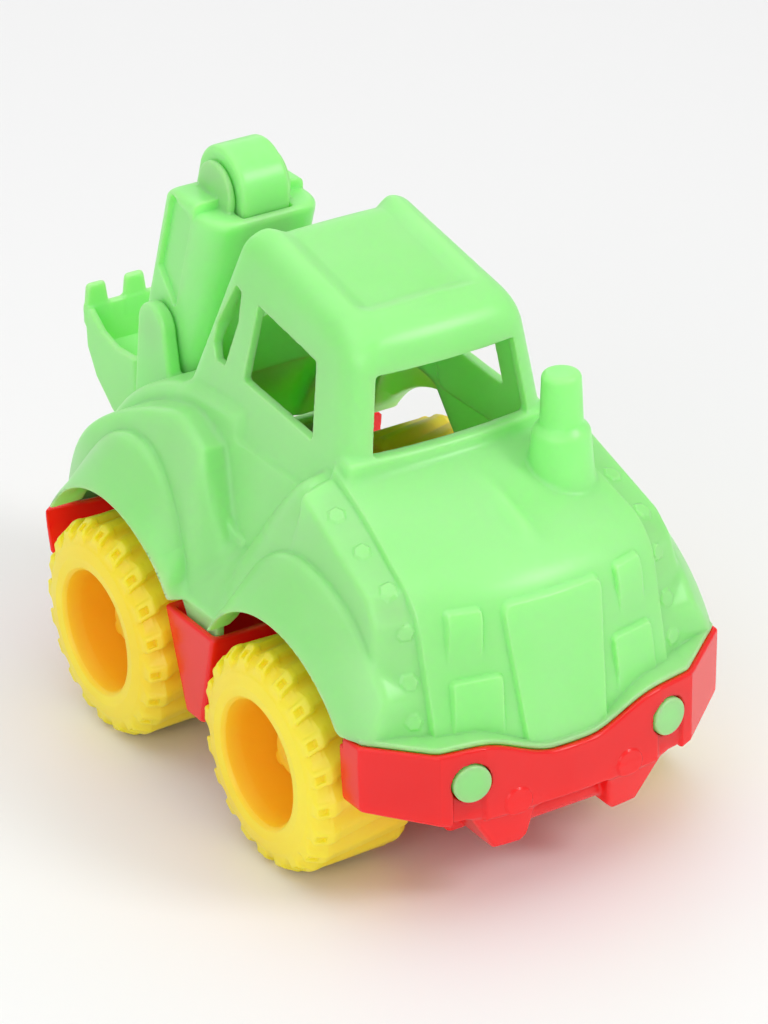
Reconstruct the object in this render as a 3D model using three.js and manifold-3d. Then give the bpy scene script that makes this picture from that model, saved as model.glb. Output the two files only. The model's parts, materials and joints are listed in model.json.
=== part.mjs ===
// Toy farm tractor with a rear digger arm: a moulded body shell over a chassis tub, four wheels
// on two axles, two lamp plugs, and a boom, dipper and bucket that hinge behind the cab.
// Millimetres, +Z up, the tractor's nose towards -Y, ground at z = 0, x = 0 the middle plane.

import * as THREE from 'three';
import { ConvexGeometry } from 'three/addons/geometries/ConvexGeometry.js';
import { mergeVertices } from 'three/addons/utils/BufferGeometryUtils.js';
import Module from 'manifold-3d';

const wasm = await Module();
wasm.setup();

// ---- driving dimensions -------------------------------------------------------------------

const WHEEL_R = 27;
const TREAD_ROOT_R = 25.2;
const WHEEL_IN_X = 26;
const WHEEL_OUT_X = 54.8;
const LUGS = 20;
const FRONT_AXLE_Y = -50;
const REAR_AXLE_Y = 25.4;
const AXLE_R = 2;
const AXLE_HALF = 44;
const BORE_GAP = 0.35;

const WALL = 2;
const GAP = 0.4;
const RIM_Z = 44;
const TUB_HALF_W = 23.5;
const TUB_FRONT_Y = -82;
const TUB_REAR_Y = 57;
const TUB_BOTTOM_Z = 14;
const NOSE_BOTTOM_Z = 26;
const SKIRT_X = 48.7;

const FENDER_X = 50.5;
const ARCH_R = 34.5;
const FENDER_WALL = 2.4;
const TAIL_Y = 66.6;
const SHELL_FOOT_Z = 40;
const PLINTH_TOP_Z = 47.5;

const EXHAUST = { x: 20.9, y: -62.5, base: 78, top: 110 };
const LAMP = { x: 26.7, y: -96.9, z: 35.6, r: 4.6, stemR: 3, head: 0.9, toe: 0.18 };

const BOOM_FOOT = { y: 54, z: 87 };
const BOOM_HEAD = { y: 40.3, z: 124.8 };
const BOOM_HALF_W = 15.4;
const BOOM_FRONT_D = 12.7;
const BOOM_REAR_D = 10.5;
const BOOM_FOOT_R = 11;
const BOOM_FRONT_WALL = 1.3;
const STUB_R = 3;
const EAR = { r: 8, in: 15.8, out: 19.6, rootZ: 58 };
const SLOT_HALF_W = 6.9;
const BARREL = { r: 11, halfW: 6.5 };
const BOSS = { r: 8.2, out: 8.6 };

const BUCKET_HINGE = { y: 67, z: 68 };
const BUCKET_HALF_W = 14.5;
const BUCKET_WALL = 2;
const DIPPER_END_R = 4.6;
const BUCKET_LUG_X = 9.4;
const HINGE_PIN_R = 2;

// ---- materials ------------------------------------------------------------------------------

function plastic(color) {
  return new THREE.MeshStandardMaterial({ color, roughness: 0.32, metalness: 0 });
}

const GREEN = plastic(0x93ef88);
const RED = plastic(0xf23a38);
const YELLOW = plastic(0xf7df62);
const STEEL = new THREE.MeshStandardMaterial({ color: 0xb9bcc0, roughness: 0.35, metalness: 0.9 });

// ---- solids ---------------------------------------------------------------------------------

function toSolid(geometry) {
  const bare = geometry.index ? geometry.toNonIndexed() : geometry.clone();
  bare.deleteAttribute('normal');
  bare.deleteAttribute('uv');
  const merged = mergeVertices(bare, 1e-4);
  return new wasm.Manifold(new wasm.Mesh({
    numProp: 3,
    vertProperties: new Float32Array(merged.attributes.position.array),
    triVerts: new Uint32Array(merged.index.array),
  }));
}

function toGeometry(solid) {
  const mesh = solid.getMesh();
  const geometry = new THREE.BufferGeometry();
  geometry.setAttribute('position', new THREE.BufferAttribute(mesh.vertProperties, 3));
  geometry.setIndex(new THREE.BufferAttribute(mesh.triVerts, 1));
  geometry.computeVertexNormals();
  return geometry;
}

function union(...solids) {
  return solids.reduce((sum, solid) => sum.add(solid));
}

function box(x0, x1, y0, y1, z0, z1) {
  const geometry = new THREE.BoxGeometry(x1 - x0, y1 - y0, z1 - z0);
  geometry.translate((x0 + x1) / 2, (y0 + y1) / 2, (z0 + z1) / 2);
  return toSolid(geometry);
}

// The hull of points [x, y, z] given for one side and mirrored to the other.
function mirroredHull(points) {
  const both = points.flatMap(([x, y, z]) => [[x, y, z], [-x, y, z]]);
  return toSolid(new ConvexGeometry(both.map((p) => new THREE.Vector3(...p))));
}

function shapeOf(points) {
  return new THREE.Shape(points.map(([a, b]) => new THREE.Vector2(a, b)));
}

function extrude(points, depth) {
  return new THREE.ExtrudeGeometry(shapeOf(points), { depth, bevelEnabled: false });
}

// A [y, z] outline run along X from x0 to x1.
function prismX(points, x0, x1) {
  const geometry = extrude(points, x1 - x0);
  geometry.rotateX(Math.PI / 2);
  geometry.rotateZ(Math.PI / 2);
  geometry.translate(x0, 0, 0);
  return toSolid(geometry);
}

function mirroredPrismX(points, x0, x1) {
  return prismX(points, x0, x1).add(prismX(points, -x1, -x0));
}

// An [x, z] outline run along Y from y0 to y1.
function prismY(points, y0, y1) {
  const geometry = extrude(points, y1 - y0);
  geometry.rotateX(Math.PI / 2);
  geometry.translate(0, y1, 0);
  return toSolid(geometry);
}

// An [x, y] outline run along Z from z0 to z1.
function prismZ(points, z0, z1) {
  const geometry = extrude(points, z1 - z0);
  geometry.translate(0, 0, z0);
  return toSolid(geometry);
}

// One side of a plan outline, front to back with x >= 0, closed by its mirror image.
function symmetric(side) {
  const other = side.filter(([x]) => x > 0).map(([x, y]) => [-x, y]).reverse();
  return [...side, ...other];
}

// A [radius, x] profile turned about the line along X through (y, z).
function turnedX(profile, y, z, segments = 40) {
  const points = profile.map(([r, x]) => new THREE.Vector2(r, x));
  const geometry = new THREE.LatheGeometry(points, segments);
  geometry.rotateZ(-Math.PI / 2);
  geometry.translate(0, y, z);
  return toSolid(geometry);
}

function rodX(r, x0, x1, { y, z }, segments = 24) {
  return turnedX([[0, x0], [r, x0], [r, x1], [0, x1]], y, z, segments);
}

function mirroredRodX(r, x0, x1, at, segments = 24) {
  return rodX(r, x0, x1, at, segments).add(rodX(r, -x1, -x0, at, segments));
}

// Points of an arc in the [y, z] plane, angles in degrees from +Y towards +Z.
function arc({ y, z }, r, from, to, steps) {
  return Array.from({ length: steps + 1 }, (_, i) => {
    const angle = ((from + ((to - from) * i) / steps) * Math.PI) / 180;
    return [y + r * Math.cos(angle), z + r * Math.sin(angle)];
  });
}

// ---- chassis --------------------------------------------------------------------------------

// Plan outlines of one side of the bumper basin and of the tail basin, `inset` from the outer face.
function nosePlan(inset, rearY) {
  return symmetric([
    [0, -98.6 + inset],
    [23.6 - inset * 0.1, -97.7 + inset],
    [34 - inset * 0.4, -95.7 + inset * 1.1],
    [49 - inset, -85 + inset * 0.5],
    [49.3 - inset, -77.6 - inset * 1.1],
    [TUB_HALF_W - inset, -80 - inset],
    [TUB_HALF_W - inset, rearY],
    [0, rearY],
  ]);
}

function tailPlan(inset, frontY) {
  return symmetric([
    [0, frontY],
    [TUB_HALF_W - inset, frontY],
    [TUB_HALF_W - inset, 54.8 + inset],
    [49 - inset * 2, 58.8 + inset * 0.5],
    [36 - inset * 0.6, 69 - inset],
    [0, 69 - inset],
  ]);
}

// Side view of the skirt between the wheels, wide at the rim and narrow at the bottom.
function skirtProfile(inset, topZ) {
  return [
    [-21.8 + inset, topZ],
    [-15 + inset, 18.7 + inset],
    [-7.4 - inset, 18.7 + inset],
    [0.8 - inset, topZ],
  ];
}

// A lamp plug or its hole: a flat head in the bumper face and a stem pointing into the nose.
function lampSolid(side, headR, stemR) {
  const front = -LAMP.head;
  const profile = [[0, front], [headR, front], [headR, 1.6], [stemR, 1.6], [stemR, 7], [0, 7]];
  const geometry = new THREE.LatheGeometry(profile.map(([r, d]) => new THREE.Vector2(r, d)), 24);
  geometry.rotateZ(side * -LAMP.toe);
  geometry.translate(side * LAMP.x, LAMP.y, LAMP.z);
  return toSolid(geometry);
}

function axlePoint(y) {
  return { y, z: WHEEL_R };
}

function chassis() {
  const over = RIM_Z + 1;
  const outer = union(
    box(-TUB_HALF_W, TUB_HALF_W, TUB_FRONT_Y, TUB_REAR_Y, TUB_BOTTOM_Z, RIM_Z),
    prismZ(nosePlan(0, TUB_FRONT_Y + 4), NOSE_BOTTOM_Z, RIM_Z),
    prismZ(tailPlan(0, TUB_REAR_Y - 4), NOSE_BOTTOM_Z, RIM_Z),
    mirroredPrismX(skirtProfile(0, RIM_Z), TUB_HALF_W - 1, SKIRT_X),
  );
  const hollow = union(
    box(-TUB_HALF_W + WALL, TUB_HALF_W - WALL, TUB_FRONT_Y + WALL, TUB_REAR_Y - WALL, TUB_BOTTOM_Z + WALL, over),
    prismZ(nosePlan(WALL, TUB_FRONT_Y + 5), NOSE_BOTTOM_Z + WALL, over),
    prismZ(tailPlan(WALL, TUB_REAR_Y - 5), NOSE_BOTTOM_Z + WALL, over),
    mirroredPrismX(skirtProfile(WALL, over), TUB_HALF_W - 4, SKIRT_X - WALL),
  );
  const towTabs = mirroredHull([
    [9, -96.8, 27], [21.5, -95.8, 27], [12.5, -91, 11.5], [18.5, -90, 11.5],
    [9, -81, 27], [21.5, -81, 27], [12.5, -81, 11.5], [18.5, -81, 11.5],
  ]).subtract(box(-9, 9, -120, -60, 0, 60));
  const towBar = box(-10, 10, -92.5, -86.5, 16, 22);
  const bearings = [FRONT_AXLE_Y, REAR_AXLE_Y].flatMap((y) => [-1, 1].map((side) => {
    const x0 = side < 0 ? -TUB_HALF_W + 1 : 14;
    return box(x0, x0 + TUB_HALF_W - 15, y - 5, y + 5, TUB_BOTTOM_Z + 1, 34);
  }));
  let solid = union(outer.subtract(hollow), towTabs, towBar, ...bearings);
  for (const y of [FRONT_AXLE_Y, REAR_AXLE_Y]) {
    solid = solid.subtract(rodX(AXLE_R + BORE_GAP, -WHEEL_OUT_X, WHEEL_OUT_X, axlePoint(y)));
  }
  for (const side of [-1, 1]) {
    solid = solid.subtract(lampSolid(side, LAMP.r + BORE_GAP, LAMP.r + BORE_GAP));
  }
  return solid;
}

// ---- body shell -----------------------------------------------------------------------------

// Bell-shaped fender pair: a [radius, x] profile about the axle, wide inboard, narrow at the arch.
function fenderBell(y, bodyR, inset) {
  const side = [
    [0, FENDER_X + (inset ? 2 : 0)],
    [ARCH_R - inset, FENDER_X + (inset ? 2 : 0)],
    [ARCH_R - inset, FENDER_X - 0.6],
    [46.5 - inset, 43.6],
    [48 - inset, 42],
    [bodyR - 4 - inset, 36],
    [bodyR - inset, 31],
  ];
  const other = side.map(([r, x]) => [r, -x]);
  return turnedX([...other, ...side.reverse()], y, WHEEL_R, 48);
}

function frontFenders(inset, footZ) {
  const clip = box(-60, 60, -83.5 + inset, 0, footZ, 100);
  return fenderBell(FRONT_AXLE_Y, 60, inset).intersect(clip);
}

function rearFenders(inset, footZ) {
  const clip = box(-60, 60, -9 + inset, TAIL_Y - inset, footZ, 100);
  return fenderBell(REAR_AXLE_Y, 53, inset).intersect(clip);
}

function hood(inset, footZ) {
  return mirroredHull([
    [10 - inset * 0.3, -40, 92.5 - inset],
    [28.3 - inset * 0.6, -40, 90.5 - inset],
    [38 - inset, -40, 84 - inset],
    [38 - inset, -40, footZ],
    [12 - inset * 0.3, -88.5 + inset, 78 - inset],
    [28.3 - inset * 0.6, -84 + inset, 76 - inset],
    [38 - inset, -79.5 + inset, 75 - inset],
    [12 - inset * 0.3, -96 + inset, footZ],
    [30.2 - inset * 0.6, -92 + inset, footZ],
    [41 - inset, -84.5 + inset, footZ],
  ]);
}

function cab(inset, footZ) {
  return mirroredHull([
    [27.6 - inset, -50.5 + inset, 90],
    [30 - inset, -46 + inset, footZ],
    [23.5 - inset, -41.5 + inset, 122.8 - inset],
    [20.5 - inset, 0.5, 132.3 - inset],
    [21 - inset, 6.5 - inset, 129 - inset],
    [30.5 - inset, 26 - inset, 78],
    [32 - inset, 30 - inset, footZ],
  ]);
}

// Body side between the fenders, flaring out to the step and the flange over the skirt.
function midBody(inset, footZ) {
  const side = [
    [46.2 - inset, footZ],
    [46.2 - inset, PLINTH_TOP_Z - inset],
    [38 - inset, 57 - inset],
    [35 - inset, 60 - inset],
    [31 - inset, 82 - inset],
  ];
  const other = side.map(([x, z]) => [-x, z]).reverse();
  return prismY([...side, ...other], -19.2 + inset, -2.2 - inset);
}

// The foot of the shell sits inside the chassis rim at the nose and the tail.
function nosePlinth(inset, z0, z1) {
  return prismZ(nosePlan(WALL + GAP + inset, TUB_FRONT_Y + 4), z0, z1);
}

function tailPlinth(inset, z0, z1) {
  return prismZ(tailPlan(WALL + GAP + inset, TUB_REAR_Y - 4), z0, z1);
}

function windows() {
  const door = [[-5, 116.3], [-31.1, 112.4], [-32.8, 94.1], [-1.8, 96.8]];
  const quarter = [[4.5, 117.4], [2.4, 116], [2.7, 109.4], [6.6, 97.4], [10.5, 97.4], [12.2, 100.8], [11.5, 106]];
  const windscreen = [[-18.2, 113.2], [-20.7, 94.8], [20.7, 94.8], [18.2, 113.2]];
  const rear = [[-15, 119], [-17, 104], [17, 104], [15, 119]];
  return union(
    prismX(door, -45, 45),
    prismX(quarter, -45, 45),
    prismY(windscreen, -60, -38),
    prismY(rear, 0, 34),
  );
}

function exhaust() {
  const { x, y, base, top } = EXHAUST;
  const profile = [[0, base], [7.9, base], [7, 97], [4.9, 98.4], [4.6, top - 1.2], [3.6, top], [0, top]];
  const geometry = new THREE.LatheGeometry(profile.map(([r, z]) => new THREE.Vector2(r, z)), 28);
  geometry.rotateX(Math.PI / 2);
  geometry.translate(x, y, 0);
  return toSolid(geometry);
}

// Upright ears on the tail that carry the boom's foot.
function ears() {
  const { y, z } = BOOM_FOOT;
  const profile = [[y - EAR.r, EAR.rootZ], [y + EAR.r, EAR.rootZ], ...arc(BOOM_FOOT, EAR.r, 0, 180, 12)];
  const holes = mirroredRodX(STUB_R + BORE_GAP, EAR.in - 1, EAR.out - 0.9, { y, z });
  return mirroredPrismX(profile, EAR.in, EAR.out).subtract(holes);
}

function bodyShell() {
  const clearRim = RIM_Z + GAP;
  const low = 20;
  const outer = union(
    hood(0, clearRim),
    cab(0, clearRim + 6),
    frontFenders(0, PLINTH_TOP_Z - 0.7),
    rearFenders(0, PLINTH_TOP_Z - 0.7),
    midBody(0, SHELL_FOOT_Z),
    nosePlinth(0, SHELL_FOOT_Z, PLINTH_TOP_Z),
    tailPlinth(0, SHELL_FOOT_Z, PLINTH_TOP_Z),
    ears(),
  );
  const hollow = union(
    hood(WALL, low),
    cab(WALL, low),
    frontFenders(FENDER_WALL, low),
    rearFenders(FENDER_WALL, low),
    midBody(WALL, low),
    nosePlinth(WALL, low, PLINTH_TOP_Z - WALL),
    tailPlinth(WALL, low, PLINTH_TOP_Z - WALL),
  );
  return outer.subtract(hollow).add(exhaust()).subtract(windows());
}

// ---- wheels and axles -----------------------------------------------------------------------

function wheel(side) {
  const web = [37, 41];
  const profile = [
    [AXLE_R + BORE_GAP, 33], [5, 33], [5.6, web[0]], [13.4, web[0]],
    [14.6, 28], [16, WHEEL_IN_X], [22, WHEEL_IN_X], [TREAD_ROOT_R, 28.6],
    [TREAD_ROOT_R, 50], [24, 52.6], [21, 54.4], [18, WHEEL_OUT_X],
    [15.6, 54], [14.8, 51], [13.6, web[1]], [5.6, web[1]],
    [5, 46], [AXLE_R + BORE_GAP, 46], [AXLE_R + BORE_GAP, 33],
  ];
  let solid = turnedX(profile, 0, 0, 40);
  const lugProfile = [[-3.1, 24.4], [2.6, 24.4], [2.3, 26.6], [-1.2, WHEEL_R], [-2.8, 25.6]];
  for (let i = 0; i < LUGS; i += 1) {
    const lug = extrude(lugProfile, 20.5);
    lug.rotateX(Math.PI / 2);
    lug.rotateZ(Math.PI / 2);
    lug.translate(30, 0, 0);
    lug.rotateX((i * 2 * Math.PI) / LUGS);
    solid = solid.add(toSolid(lug));
  }
  const geometry = toGeometry(solid);
  if (side < 0) {
    geometry.rotateZ(Math.PI);
  }
  return geometry;
}

function axle() {
  const geometry = new THREE.CylinderGeometry(AXLE_R, AXLE_R, 2 * AXLE_HALF, 24);
  geometry.rotateZ(Math.PI / 2);
  return geometry;
}

// ---- digger arm -----------------------------------------------------------------------------

const BOOM_LENGTH = Math.hypot(BOOM_HEAD.y - BOOM_FOOT.y, BOOM_HEAD.z - BOOM_FOOT.z);
const BOOM_DIR = {
  y: (BOOM_HEAD.y - BOOM_FOOT.y) / BOOM_LENGTH,
  z: (BOOM_HEAD.z - BOOM_FOOT.z) / BOOM_LENGTH,
};

// The point `along` the boom from its foot and `behind` its centre line.
function onBoom(along, behind) {
  return [
    BOOM_FOOT.y + along * BOOM_DIR.y + behind * BOOM_DIR.z,
    BOOM_FOOT.z + along * BOOM_DIR.z - behind * BOOM_DIR.y,
  ];
}

function boomProfile(frontD, rearD, footR) {
  const lean = (Math.atan2(-BOOM_DIR.y, BOOM_DIR.z) * 180) / Math.PI;
  const topZ = BOOM_HEAD.z - 0.2;
  const topFront = onBoom(BOOM_LENGTH, -frontD);
  const topRear = onBoom(BOOM_LENGTH, rearD);
  return [
    onBoom(2, -frontD),
    ...arc(BOOM_FOOT, footR, 180 + lean + 35, 360 + lean, 10),
    onBoom(2, rearD),
    [topRear[0] + 1.4, topZ - 4],
    [topRear[0] - 1, topZ],
    [topFront[0] + 1, topZ],
    [topFront[0] - 1, topZ - 2.5],
  ];
}

function boom() {
  const block = prismX(boomProfile(BOOM_FRONT_D, BOOM_REAR_D, BOOM_FOOT_R), -BOOM_HALF_W, BOOM_HALF_W);
  const bosses = mirroredRodX(BOSS.r, SLOT_HALF_W, BOSS.out, BOOM_HEAD);
  const slotFront = -(BOOM_FRONT_D - BOOM_FRONT_WALL);
  const slot = prismX([
    onBoom(-30, slotFront), onBoom(-30, 40), onBoom(70, 40), onBoom(70, slotFront),
  ], -SLOT_HALF_W, SLOT_HALF_W);
  const headStubs = mirroredRodX(STUB_R, BARREL.halfW - 2.6, SLOT_HALF_W + 1, BOOM_HEAD);
  const footStubs = mirroredRodX(STUB_R, BOOM_HALF_W - 1, BOOM_HALF_W + 2.6, BOOM_FOOT);
  return union(block.add(bosses).subtract(slot), headStubs, footStubs);
}

function dipper() {
  const { halfW, r } = BARREL;
  const disc = (at, radius) => arc(at, radius, 0, 360, 28).slice(1);
  const flat = [...disc(BOOM_HEAD, r), ...disc(BUCKET_HINGE, DIPPER_END_R)];
  const corners = flat.flatMap(([y, z]) => [-halfW, halfW].map((x) => new THREE.Vector3(x, y, z)));
  return toSolid(new ConvexGeometry(corners))
    .subtract(rodX(STUB_R + BORE_GAP, -halfW - 1, halfW + 1, BOOM_HEAD))
    .subtract(rodX(HINGE_PIN_R + BORE_GAP, -halfW - 1, halfW + 1, BUCKET_HINGE));
}

function bucket() {
  const outer = [
    [72.2, 71.5], [72.2, 58], [74, 51], [78.5, 47], [86, 50.2],
    [94, 56.8], [98.1, 64], [98.6, 75], [95.5, 74.8], [90, 71.3], [82, 69.6],
  ];
  const inner = [
    [74.2, 90], [74.2, 58], [75.6, 52.4], [79, 49.6], [85.2, 52.4],
    [92.6, 58.4], [96.1, 64.6], [96.5, 90],
  ];
  const teeth = [-11, 0, 11].map((x) => prismY([
    [x - 3.4, 74], [x + 3.4, 74], [x + 2.4, 81], [x - 2.4, 81],
  ], 96.6, 98.6));
  const { y, z } = BUCKET_HINGE;
  const lugs = mirroredPrismX([
    ...arc(BUCKET_HINGE, DIPPER_END_R, 90, 270, 10), [73, z - DIPPER_END_R], [73, z + 3.4],
  ], SLOT_HALF_W, BUCKET_LUG_X);
  const stubs = mirroredRodX(HINGE_PIN_R, BARREL.halfW - 2.6, SLOT_HALF_W + 1, { y, z });
  const inside = BUCKET_HALF_W - BUCKET_WALL;
  return union(
    prismX(outer, -BUCKET_HALF_W, BUCKET_HALF_W).subtract(prismX(inner, -inside, inside)),
    ...teeth,
    lugs,
    stubs,
  );
}

// ---- assembly -------------------------------------------------------------------------------

const tractor = new THREE.Group();

function add(name, geometry, material, position = [0, 0, 0]) {
  const mesh = new THREE.Mesh(geometry, material);
  mesh.name = name;
  mesh.position.set(...position);
  tractor.add(mesh);
}

add('body_shell', toGeometry(bodyShell()), GREEN);
add('chassis', toGeometry(chassis()), RED);
// The tractor faces -Y, so its own left side is +X.
for (const [name, side] of [['left', 1], ['right', -1]]) {
  add(`headlamp_${name}`, toGeometry(lampSolid(side, LAMP.r, LAMP.stemR)), GREEN);
  add(`front_wheel_${name}`, wheel(side), YELLOW, [0, FRONT_AXLE_Y, WHEEL_R]);
  add(`rear_wheel_${name}`, wheel(side), YELLOW, [0, REAR_AXLE_Y, WHEEL_R]);
}
add('front_axle', axle(), STEEL, [0, FRONT_AXLE_Y, WHEEL_R]);
add('rear_axle', axle(), STEEL, [0, REAR_AXLE_Y, WHEEL_R]);
add('boom', toGeometry(boom()), GREEN);
add('dipper', toGeometry(dipper()), GREEN);
add('bucket', toGeometry(bucket()), GREEN);

export default tractor;
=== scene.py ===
"""Looks of a moulded toy tractor with a digger arm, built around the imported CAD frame.

Every moulding is a distance field in millimetres, in the frame of the CAD model, meshed by surface nets and
pulled onto the exact surface. +Z is up, the nose points to -Y, and x = 0 is the middle plane.
"""

import json
import math

import bpy
import numpy as np
from mathutils import Matrix, Vector


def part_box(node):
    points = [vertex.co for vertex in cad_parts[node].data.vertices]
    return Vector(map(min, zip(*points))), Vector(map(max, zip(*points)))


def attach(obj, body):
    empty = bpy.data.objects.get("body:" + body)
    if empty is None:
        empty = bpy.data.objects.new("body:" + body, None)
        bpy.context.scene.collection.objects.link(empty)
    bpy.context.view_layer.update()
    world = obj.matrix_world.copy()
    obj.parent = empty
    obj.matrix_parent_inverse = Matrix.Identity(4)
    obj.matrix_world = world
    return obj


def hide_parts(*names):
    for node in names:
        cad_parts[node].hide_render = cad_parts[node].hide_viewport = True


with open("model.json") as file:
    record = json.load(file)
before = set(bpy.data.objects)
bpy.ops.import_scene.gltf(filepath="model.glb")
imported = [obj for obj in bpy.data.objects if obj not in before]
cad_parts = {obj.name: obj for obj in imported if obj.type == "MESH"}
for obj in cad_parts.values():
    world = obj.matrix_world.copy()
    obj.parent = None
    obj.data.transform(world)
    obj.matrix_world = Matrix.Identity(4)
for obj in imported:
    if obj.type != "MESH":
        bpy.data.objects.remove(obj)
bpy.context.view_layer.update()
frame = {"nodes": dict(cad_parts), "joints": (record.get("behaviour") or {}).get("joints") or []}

MM = 0.001
FINE = 1.0

# ---- places shared with the CAD frame ---------------------------------------------------------


def joint_point(name):
    """A joint's place at rest, in millimetres."""
    joint = next(j for j in frame["joints"] if j["name"] == name)
    return [c / MM for c in joint["pos_m"]]


FRONT_AXLE = joint_point("front_axle_spin")
REAR_AXLE = joint_point("rear_axle_spin")
BOOM_FOOT = joint_point("boom_hinge")
BOOM_HEAD = joint_point("dipper_hinge")
BUCKET_HINGE = joint_point("bucket_hinge")

# Height of the parting line between shell and chassis, and the walls of both.
RIM_Z = 44.0
WALL = 2.0
SHELL_WALL = 2.4
# Holes for the wheel rods, and pins and holes of the boom's two ends and of the bucket.
ROD_HOLE_R = 2.35
ARM_PIN_R, ARM_HOLE_R = 3.0, 3.35
BUCKET_PIN_R, BUCKET_HOLE_R = 2.0, 2.35

# ---- field kit --------------------------------------------------------------------------------


def soft_min(a, b, k):
    """The union of two fields, with a fillet about k wide."""
    h = np.clip(0.5 + 0.5 * (b - a) / k, 0.0, 1.0)
    return b + (a - b) * h - k * h * (1.0 - h)


def soft_max(a, b, k):
    """The part inside both fields, with an edge rounded about k wide."""
    return -soft_min(-a, -b, k)


def join(k, *fields):
    """The union of any number of fields, filleted."""
    result = fields[0]
    for field in fields[1:]:
        result = soft_min(result, field, k)
    return result


def meet(k, *fields):
    """The part inside all the fields, with rounded edges."""
    result = fields[0]
    for field in fields[1:]:
        result = soft_max(result, field, k)
    return result


def ramp(value, start, end):
    """A smooth step from 0 at start to 1 at end."""
    t = np.clip((value - start) / (end - start), 0.0, 1.0)
    return t * t * (3.0 - 2.0 * t)


def polygon(u, v, points):
    """Signed distance to a flat outline, negative inside."""
    nearest = None
    inside = np.zeros(np.shape(u), bool)
    for (au, av), (bu, bv) in zip(points, points[1:] + points[:1]):
        eu, ev = bu - au, bv - av
        wu, wv = u - au, v - av
        t = np.clip((wu * eu + wv * ev) / (eu * eu + ev * ev), 0.0, 1.0)
        gap = (wu - eu * t) ** 2 + (wv - ev * t) ** 2
        nearest = gap if nearest is None else np.minimum(nearest, gap)
        if ev:
            crosses = (v >= min(av, bv)) & (v < max(av, bv))
            inside ^= crosses & (wu < wv * eu / ev)
    return np.where(inside, -1.0, 1.0) * np.sqrt(nearest)


def inset(points, r):
    """A convex outline, listed in either sense, moved in by r."""
    following = points[1:] + points[:1]
    area = sum(p[0] * q[1] - q[0] * p[1] for p, q in zip(points, following))
    sense = 1.0 if area > 0 else -1.0
    moved = []
    for p, q, s in zip(points[-1:] + points[:-1], points, following):
        d1, d2 = Vector(q) - Vector(p), Vector(s) - Vector(q)
        n1 = Vector((-d1.y, d1.x)).normalized() * sense
        n2 = Vector((-d2.y, d2.x)).normalized() * sense
        shift = (n1 + n2) / (1.0 + n1.dot(n2)) * r
        moved.append((q[0] + shift.x, q[1] + shift.y))
    return moved


def rounded(u, v, points, r):
    """A convex outline with corners of radius r."""
    return polygon(u, v, inset(points, r)) - r


def stroke(u, v, points):
    """Distance to an open polyline."""
    nearest = None
    for (au, av), (bu, bv) in zip(points, points[1:]):
        eu, ev = bu - au, bv - av
        t = np.clip(((u - au) * eu + (v - av) * ev) / (eu * eu + ev * ev), 0.0, 1.0)
        gap = (u - au - eu * t) ** 2 + (v - av - ev * t) ** 2
        nearest = gap if nearest is None else np.minimum(nearest, gap)
    return np.sqrt(nearest)


def around(y, z, centre):
    """Distance from the line along X through centre."""
    return np.hypot(y - centre[1], z - centre[2])


def slab(value, low, high):
    """Distance outside the layer between low and high, negative within it."""
    return np.maximum(low - value, value - high)


# ---- mesher -----------------------------------------------------------------------------------

# Points per field call, and grid cells per side of the blocks that are looked at first.
CHUNK = 600_000
BLOCK = 4
# A field's slope is at most this steep; rounded unions may miss by REACH_SPARE millimetres.
STEEPEST = 1.3
REACH_SPARE = 1.2
FAR = 99.0
# A face is split when its corner normals bend this far apart, or within this reach of a fine detail.
BEND_COS = 0.965
DETAIL_REACH = 4.0
# Cell corners, the cell edges between them, and the four arms of a gradient probe.
CORNERS = [(i, j, k) for i in (0, 1) for j in (0, 1) for k in (0, 1)]
EDGES = [(0, 1), (2, 3), (4, 5), (6, 7), (0, 2), (1, 3), (4, 6), (5, 7), (0, 4), (1, 5), (2, 6), (3, 7)]

TETRAHEDRON = np.array([(1.0, -1.0, -1.0), (-1.0, -1.0, 1.0), (-1.0, 1.0, -1.0), (1.0, 1.0, 1.0)])


def sample(field, points):
    """Field values at points, a chunk at a time."""
    out = np.empty(len(points))
    for start in range(0, len(points), CHUNK):
        part = points[start:start + CHUNK]
        out[start:start + CHUNK] = field(part[:, 0], part[:, 1], part[:, 2])
    return out


def gradient(field, points, h=0.04):
    """The field's slope at points, from four samples round each."""
    return sum(sample(field, points + h * arm)[:, None] * arm for arm in TETRAHEDRON) / (4.0 * h)


def grid_values(field, low, high, step):
    """Field values on a grid; blocks that the surface can't reach are filled with their sign."""
    counts = [int(math.ceil((high[a] - low[a]) / step / BLOCK)) for a in range(3)]
    axes = [low[a] + step * np.arange(counts[a] * BLOCK) for a in range(3)]
    centres = [low[a] + step * BLOCK * (np.arange(counts[a]) + 0.5) for a in range(3)]
    mid = np.stack(np.meshgrid(*centres, indexing="ij"), -1).reshape(-1, 3)
    coarse = sample(field, mid).reshape(counts)
    near = np.abs(coarse) < 0.5 * math.sqrt(3.0) * BLOCK * step * STEEPEST + REACH_SPARE

    def spread(array):
        for axis in range(3):
            array = np.repeat(array, BLOCK, axis)
        return array

    values = np.where(spread(coarse) < 0, -FAR, FAR).astype(np.float32)
    index = np.nonzero(spread(near))
    points = np.stack([axes[a][index[a]] for a in range(3)], -1)
    values[index] = sample(field, points)
    return values


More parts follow.
